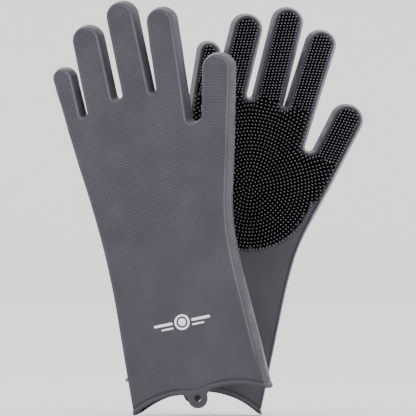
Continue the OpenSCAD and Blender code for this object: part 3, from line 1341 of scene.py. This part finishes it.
class Dresser:
    """Cuts a glove's skin into pieces and adds its dots, bristles, tab and print.

    Attributes:
        fit: For each digit, how far its soft walls lie towards the thumb and how much wider they stand.
    """

    fit = (
        (0.0, 0.3 * MM),
        (0.0, 0.4 * MM),
        (0.2 * MM, 0.4 * MM),
        (0.6 * MM, 0.5 * MM),
        (2.2 * MM, 1.0 * MM),
    )

    def __init__(self, glove: GloveFrame, finishes: dict[str, bpy.types.Material]) -> None:
        """Prepares the outline, the surface and the skin.

        Args:
            glove: Measures of the glove.
            finishes: Materials by name.
        """
        self.glove = glove
        self.side = glove.side.value
        self.finishes = finishes
        self.outline = Outline(glove)
        self.surface = Surface(self.outline)
        for i, (shift, wider) in enumerate(self.fit):
            digit = glove.digits[i]
            hinge = digit.hinge + Vector((shift, 0.0, 0.0))
            glove.digits[i] = replace(digit, hinge=hinge, half=digit.half + wider)
        if glove.side is Side.RIGHT:
            self.outline.webs = tuple(web - 3.0 * MM for web in self.outline.webs)
            glove.digits[-1] = replace(glove.digits[-1], length=glove.digits[-1].length - 9 * MM)
            self.surface.roll = 0.0
        self.skin = Skin(self.surface)
        self.dots = Dots()
        self.bristles = Bristles()
        self.shading = Shading()
        self.random = random.Random(7 if glove.side is Side.LEFT else 11)

    def follow(self, piece: bpy.types.Object, name: str, slot: str) -> None:
        """Puts a piece of a zone on its bodies and names its material slot.

        Args:
            piece: The piece.
            name: Zone value or digit name.
            slot: Material slot of the record.
        """
        world = self.glove.world
        digit = self.digit(name)
        hand = f"{self.side}_hand"
        cuff = f"{self.side}_cuff"
        if digit is not None:
            reach = digit.start - 0.5 * MM
            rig.blend(piece, hand, f"{self.side}_{name}", start=world(digit.at(0.0, -reach)),
                     end=world(digit.at(0.0, reach)))
        elif name == Zone.CUFF.value:
            reach = self.skin.cuff_top - self.glove.wrist_y - 1.0 * MM
            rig.blend(piece, hand, cuff, start=world(Vector((0.0, self.glove.wrist_y + reach, 0.0))),
                     end=world(Vector((0.0, self.glove.wrist_y - reach, 0.0))))
        else:
            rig.ride(piece, hand if name == Zone.HAND.value else cuff)
        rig.slot(piece, slot)

    def digit(self, name: str) -> Digit | None:
        """Finds a digit by name, or None for a zone."""
        return next((d for d in self.glove.digits if d.name == name), None)

    def zone_at(self, spot: tuple[float, float]) -> str:
        """Names the zone above the cuff that a place belongs to.

        Args:
            spot: A place in the flat plane.

        Returns:
            A digit's name, or the hand's.
        """
        point = Vector((spot[0], spot[1], 0.0))
        return next((d.name for d in self.glove.digits if self.skin.near(d, point, 0.0)), Zone.HAND.value)

    def make_skin(self) -> None:
        """Makes the skin of the hand, the cuff, the hem and the digits."""
        whole = self.skin.build()
        whole.faces.index_update()
        zones = [self.skin.zone_of(f) for f in whole.faces]
        for name in [z.value for z in Zone] + [d.name for d in self.glove.digits]:
            bm = whole.copy()
            bm.faces.ensure_lookup_table()
            others = [f for f, zone in zip(bm.faces, zones) if zone != name]
            bmesh.ops.delete(bm, geom=others, context="FACES")
            for edge in bm.edges:
                edge.smooth = not edge.is_boundary
            self._skin_piece(name, bm)
        whole.free()

    def _skin_piece(self, name: str, bm: bmesh.types.BMesh) -> None:
        """Dresses one stretch of skin.

        Args:
            name: Zone value or digit name.
            bm: Its outer surface.
        """
        co = np.array([v.co for v in bm.verts])
        piece = finish_piece(f"{name}_skin", bm, self.glove, self.finishes["skin"], shade=self.shade(co))
        # Faces deep in the painted shade between the bristles take the near-black painted-shade finish.
        piece.data.materials.append(self.finishes["bed"])
        for face in piece.data.polygons:
            share = sum(piece.data.attributes["shade"].data[v].value for v in face.vertices)
            face.material_index = int(share < self.shading.dark * len(face.vertices))
        wall = piece.modifiers.new("wall", "SOLIDIFY")
        wall.thickness = self.skin.wall
        wall.offset = -1.0
        wall.use_rim = True
        slot = {Zone.CUFF.value: "cuff", Zone.HEM.value: "hem"}.get(name, "back")
        self.follow(piece, name, slot)
        replaced = {
            Zone.HAND.value: ["hand"],
            Zone.CUFF.value: ["cuff", "wrist_flex"],
            Zone.HEM.value: ["hem"],
        }.get(name, [f"{name}_sheath", f"{name}_knuckle"])
        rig.replaces(piece, *[f"{self.side}_{node}" for node in replaced])

    def shade(self, co: np.ndarray) -> np.ndarray:
        """Paints light and shade on the skin: painted shade between the bristles and in the groove over the hem, a
        painted highlight on the ridge of the back, painted light on the hand's side walls and painted shade on the
        cuff's.

        Args:
            co: Points in the flat axes.

        Returns:
            The "shade" value of each point.
        """
        s = self.shading
        where = co[:, :2] + [self.surface.roll, 0.0] * co[:, 2:3]
        depth = self.outline.distance(where)
        # Painted shade between the bristles, where the skin lies in their shadow.
        bed = s.bed * self.bristles.field(self.glove, where, depth, s.bed_soft)
        # Painted highlight along the ridge of the back, strongest on the thumb side.
        ridge = s.ridge * np.exp(-(((depth - s.ridge_depth) / s.ridge_width) ** 2))
        ridge *= smoothstep(10 * MM, 40 * MM, co[:, 1])
        thumbwards = smoothstep(-0.3, 0.8, -self.outline.slope(where, 0, 0.4 * MM))
        ridge *= s.ridge_least + (1.0 - s.ridge_least) * thumbwards
        # Painted shade in the groove over the hem.
        lift = co[:, 1] - self.skin.hem_line(where[:, 0])
        groove = s.groove * np.exp(-(((lift - self.skin.groove) / s.groove_width) ** 2))
        # Painted light on the hand's side walls and painted shade on the cuff's.
        on_hand = smoothstep(self.glove.wrist_y, self.skin.cuff_top + 40 * MM, co[:, 1])
        walls = s.cuff_walls + (s.hand_walls - s.cuff_walls) * on_hand
        walls *= smoothstep(2.4 * MM, 1.2 * MM, depth)
        return 1.0 + groove + walls + np.where(co[:, 2] < 0.0, bed, ridge)

    def make_dots(self) -> None:
        """Makes the micro dots of the hand and of each digit."""
        for name in [Zone.HAND.value] + [d.name for d in self.glove.digits]:
            spots = self.dots.spots(self.glove, self.digit(name))
            where = np.array([s for s in spots if self.zone_at(s) == name])
            depth = self.outline.distance(where)
            keep = (depth > self.dots.inset) & (where[:, 1] > self.dots.line(self.glove, where[:, 0]))
            x, y = where[keep].T
            places = self.surface.place(x, y, self.surface.height(x, y, depth[keep], True))
            bm = scatter(self.dots.shape(), [Matrix.Translation(p) for p in places])
            # Painted highlight: the dots are drawn paler than the skin.
            piece = finish_piece(f"{name}_dots", bm, self.glove, self.finishes["skin"],
                                 shade=np.full(len(bm.verts), self.dots.shade))
            self.follow(piece, name, "back")

    def make_bristles(self) -> None:
        """Makes the bristles of the palm and of each digit."""
        self._bristle_piece("palm", Zone.HAND.value, self.bristles.ring_spots(self.glove))
        for digit in self.glove.digits:
            self._bristle_piece(digit.name, digit.name, self.bristles.row_spots(digit))

    def _bristle_piece(self, name: str, zone: str, spots: list[tuple[float, float]]) -> None:
        """Makes one field of bristles.

        Args:
            name: "palm" or a digit's name.
            zone: Zone value or digit name.
            spots: Candidate places.
        """
        where = np.array([s for s in spots if self.zone_at(s) == zone])
        depth = self.outline.distance(where)
        keep = self.bristles.field(self.glove, where, depth, 0.01 * MM) > 0.99
        where = where[keep]
        depth = depth[keep]
        fan = self.bristles.palm_fan if name == "palm" else self.bristles.fan
        east, north = (self.outline.slope(where, axis, 0.5 * MM) for axis in (0, 1))
        feet = self.surface.place(*where.T, -self.surface.height(*where.T, depth, False))
        sink = Vector((0.0, 0.0, self.bristles.sink))
        places = []
        for foot, d, gx, gy in zip(feet, depth, east, north):
            slope = fan * max(0.0, 1.0 - (d - self.bristles.border) / self.bristles.fan_width)
            wobble = [self.random.gauss(0, self.bristles.wobble) for _ in range(2)]
            lean = Vector((wobble[0] - gx * slope, wobble[1] - gy * slope, -1.0))
            turn = Vector((0.0, 0.0, 1.0)).rotation_difference(lean.normalized()).to_matrix().to_4x4()
            places.append(Matrix.Translation(Vector(foot) + sink) @ turn)
        shape = self.bristles.shape(self.glove.pin_length)
        levels = np.array([v.co.z for v in shape.verts]) / self.glove.pin_length
        bm = scatter(shape, places)
        # Painted shade on each bristle: dark at the foot and pale towards the tip, through the "tone" attribute.
        foot_shade_power = self.bristles.palm_foot_shade_power if name == "palm" else self.bristles.foot_shade_power
        piece = finish_piece(f"{name}_pins", bm, self.glove, self.finishes["pins"],
                             tone=np.tile(levels ** foot_shade_power, len(places)))
        self.follow(piece, zone, "bristles")
        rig.replaces(piece, f"{self.side}_{name}_bristles")

    def make_tab(self) -> None:
        """Makes the hang tab."""
        bm = HangTab(self.skin).build()
        piece = finish_piece("hang_tab_lobe", bm, self.glove, self.finishes["skin"])
        plate = piece.modifiers.new("plate", "SOLIDIFY")
        plate.thickness = self.glove.tab_thickness
        plate.offset = -1.0
        plate.use_rim = True
        self.follow(piece, Zone.HEM.value, "hem")
        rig.replaces(piece, f"{self.side}_hang_tab")

    def make_print(self) -> None:
        """Prints the mark on the cuff."""
        low, high = self.glove.span("print")
        middle = Vector(((low.x + high.x) / 2, (low.y + high.y) / 2, 0.0))
        bm = PrintMark().build(self.surface, middle)
        piece = finish_piece("print_ink", bm, self.glove, self.finishes["ink"])
        film = piece.modifiers.new("film", "SOLIDIFY")
        film.thickness = 0.2 * MM
        film.offset = -1.0
        self.follow(piece, Zone.HEM.value, "print")
        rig.replaces(piece, f"{self.side}_print")

    def build(self) -> None:
        """Makes every piece of the glove."""
        self.make_skin()
        self.make_dots()
        self.make_bristles()
        self.make_tab()
        if self.glove.side is Side.LEFT:
            self.make_print()


# ---------------------------------------------------------------- studio


@dataclass(frozen=True)
class Studio:
    """Pale floor, soft lights and the camera.

    Attributes:
        distance: From the camera to the left glove.
        view_height: Height of what the camera frames.
        tilt: Sideways tilt of the camera, in radians.
    """

    distance: float = 6.3
    view_height: float = 0.3536
    tilt: float = math.radians(-0.55)

    def build(self, left: GloveFrame) -> None:
        """Makes the floor, the lights and the camera.

        Args:
            left: Measures of the left glove, which the camera is centred on.
        """
        lo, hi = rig.bounds()
        self._floor(lo.z - 0.0005)
        hole = left.matrix.translation
        centre = Vector((hole.x + 3.2 * MM, hole.y, hole.z + 160.7 * MM))
        camera = bpy.data.cameras.new("camera")
        camera.sensor_width = 36.0
        camera.lens = 36.0 * self.distance / self.view_height
        camera.clip_end = 100.0
        shown = bpy.data.objects.new("camera", camera)
        shown.location = centre + Vector((0.0, -self.distance, 0.0))
        shown.rotation_euler = (math.pi / 2, self.tilt, 0.0)
        bpy.context.scene.collection.objects.link(shown)
        bpy.context.scene.camera = shown
        world = bpy.data.worlds.new("studio")
        world.use_nodes = True
        world.node_tree.nodes["Background"].inputs["Color"].default_value = (0.96, 0.97, 1.0, 1.0)
        world.node_tree.nodes["Background"].inputs["Strength"].default_value = 2.1
        bpy.context.scene.world = world
        self._light("key", centre, Vector((-0.8, -1.2, 1.1)), 0.6, 7.0)
        self._light("rim", centre, Vector((-1.7, -0.1, 0.7)), 0.5, 3.0)
        self._light("fill", centre, Vector((1.2, -2.0, 0.1)), 1.3, 5.0)

    def _light(self, name: str, aim: Vector, offset: Vector, size: float, power: float) -> None:
        """Adds one soft area light.

        Args:
            name: Name of the light.
            aim: Point it is turned to.
            offset: From that point to the light.
            size: Side of its square.
            power: Power in watts.
        """
        data = bpy.data.lights.new(name, "AREA")
        data.size = size
        data.energy = power
        lamp = bpy.data.objects.new(name, data)
        lamp.location = aim + offset
        lamp.rotation_euler = offset.to_track_quat("Z", "Y").to_euler()
        bpy.context.scene.collection.objects.link(lamp)

    def _floor(self, height: float) -> None:
        """Makes the floor, swept up behind the object.

        Args:
            height: Height of the floor.
        """
        bm = bmesh.new()
        bmesh.ops.create_grid(bm, x_segments=1, y_segments=1, size=1.0)
        bmesh.ops.scale(bm, vec=(14.0, 10.0, 1.0), verts=bm.verts)
        bmesh.ops.translate(bm, vec=(0.0, 0.0, height), verts=bm.verts)
        far = [e for e in bm.edges if all(v.co.y > 0 for v in e.verts)]
        wall = bmesh.ops.extrude_edge_only(bm, edges=far)
        raised = [g for g in wall["geom"] if isinstance(g, bmesh.types.BMVert)]
        bmesh.ops.translate(bm, vec=(0.0, 0.0, 4.0), verts=raised)
        bend = [e for e in bm.edges if all(abs(v.co.z - height) < MM and v.co.y > 0 for v in e.verts)]
        bmesh.ops.bevel(bm, geom=bend, offset=1.4, offset_type="OFFSET", segments=16, profile=0.5,
                        affect="EDGES", material=-1)
        mesh = bpy.data.meshes.new("floor")
        bm.to_mesh(mesh)
        bm.free()
        for polygon in mesh.polygons:
            polygon.use_smooth = True
        floor = bpy.data.objects.new("floor", mesh)
        bpy.context.scene.collection.objects.link(floor)
        mat = bpy.data.materials.new("pale_floor")
        mat.use_nodes = True
        shader = mat.node_tree.nodes["Principled BSDF"]
        shader.inputs["Base Color"].default_value = (0.80, 0.80, 0.79, 1.0)
        shader.inputs["Roughness"].default_value = 0.8
        floor.data.materials.append(mat)
        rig.stage(floor)


def write_sizes(before: tuple[Vector, Vector], after: tuple[Vector, Vector]) -> None:
    """Writes the box of the frame and of the finished object.

    Args:
        before: Box of the frame.
        after: Box of the finished object.
    """
    with open("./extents.json", "w", encoding="utf-8") as out:
        json.dump({"cad": [list(v) for v in before], "visual": [list(v) for v in after]}, out)


def main() -> None:
    """Loads the frame and builds the pair."""
    logging.basicConfig(level=logging.INFO, format="%(name)s: %(message)s")
    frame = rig.load()
    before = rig.bounds()
    chosen = Finishes()
    finishes = {
        "skin": chosen.skin.material(),
        "bed": chosen.bed.material(),
        "pins": chosen.pins.material(),
        "ink": chosen.ink.material(),
    }
    gloves = {side: GloveFrame(frame, side) for side in Side}
    for glove in gloves.values():
        Dresser(glove, finishes).build()
    Studio().build(gloves[Side.LEFT])
    write_sizes(before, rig.bounds())


if __name__ == "__main__":
    main()
